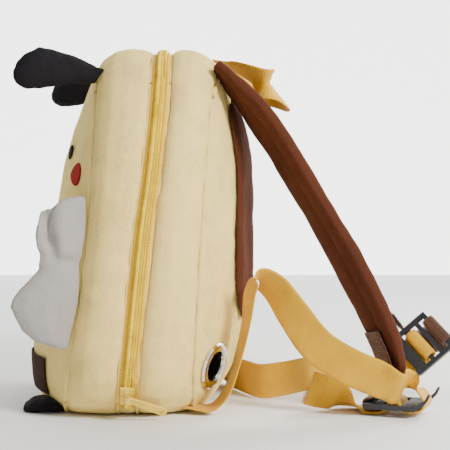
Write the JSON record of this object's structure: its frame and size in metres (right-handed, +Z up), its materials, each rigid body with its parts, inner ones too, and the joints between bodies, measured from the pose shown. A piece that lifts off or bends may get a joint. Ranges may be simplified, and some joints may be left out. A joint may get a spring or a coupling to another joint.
{
  "type": "plush animal backpack with a feeding tube port",
  "caption": "Small soft plush backpack shaped as a bee, with a zip round the sides, a tube port in the back panel, padded shoulder straps and a grab handle.",
  "frame": {"origin": "middle of the flat base that the bag stands on", "axes": "+Z up, the face looks along -Y, the wearer's back and the straps are on the +Y side, +X is the wearer's right"},
  "size_m": [0.225, 0.3207, 0.257],
  "materials": {
    "plush": "short-pile pale yellow plush",
    "zip": "woven zip tape and coil, yellow",
    "zip_metal": "pale yellow painted metal",
    "chrome": "polished",
    "brown_plush": "short-pile brown plush",
    "belly_plush": "short-pile dark brown plush",
    "black_plush": "short-pile black plush",
    "red_plush": "short-pile dark red plush",
    "wing_plush": "short-pile grey plush",
    "yellow_webbing": "ribbed woven webbing, yellow",
    "brown_webbing": "ribbed woven webbing, brown",
    "buckle": "satin moulded plastic"
  },
  "bodies": {
    "bag": {"face_panel": "plush", "front_gusset": "plush", "back_gusset": "plush", "back_panel": "plush", "bottom_strip": "plush", "zip_tape": "zip", "zip_coil": "zip", "zip_slider": "zip_metal", "tube_port_ring": "chrome", "back_pad": "brown_plush", "shoulder_strap_right": "brown_plush", "shoulder_strap_left": "brown_plush", "belly_stripe": "belly_plush", "eye_right": "black_plush", "eye_left": "black_plush", "foot_right": "black_plush", "foot_left": "black_plush", "antenna_right": "black_plush", "antenna_left": "black_plush", "cheek_right": "red_plush", "cheek_left": "red_plush", "wing_right": "wing_plush", "wing_left": "wing_plush", "grab_handle": "yellow_webbing", "webbing_right": "yellow_webbing", "webbing_left": "yellow_webbing", "strap_tab_right": "brown_webbing", "strap_tab_left": "brown_webbing", "buckle_right": "buckle", "buckle_left": "buckle"},
    "pull": {"zip_pull": "zip_metal"}
  },
  "joints": [
    {"name": "pull_hinge", "type": "hinge", "parent": "bag", "child": "pull", "pos_m": [0.10047, 0.00083, 0.01523], "axis": [-0.5247, -0.0843, -0.8471], "range_deg": [0, 150]}
  ]
}
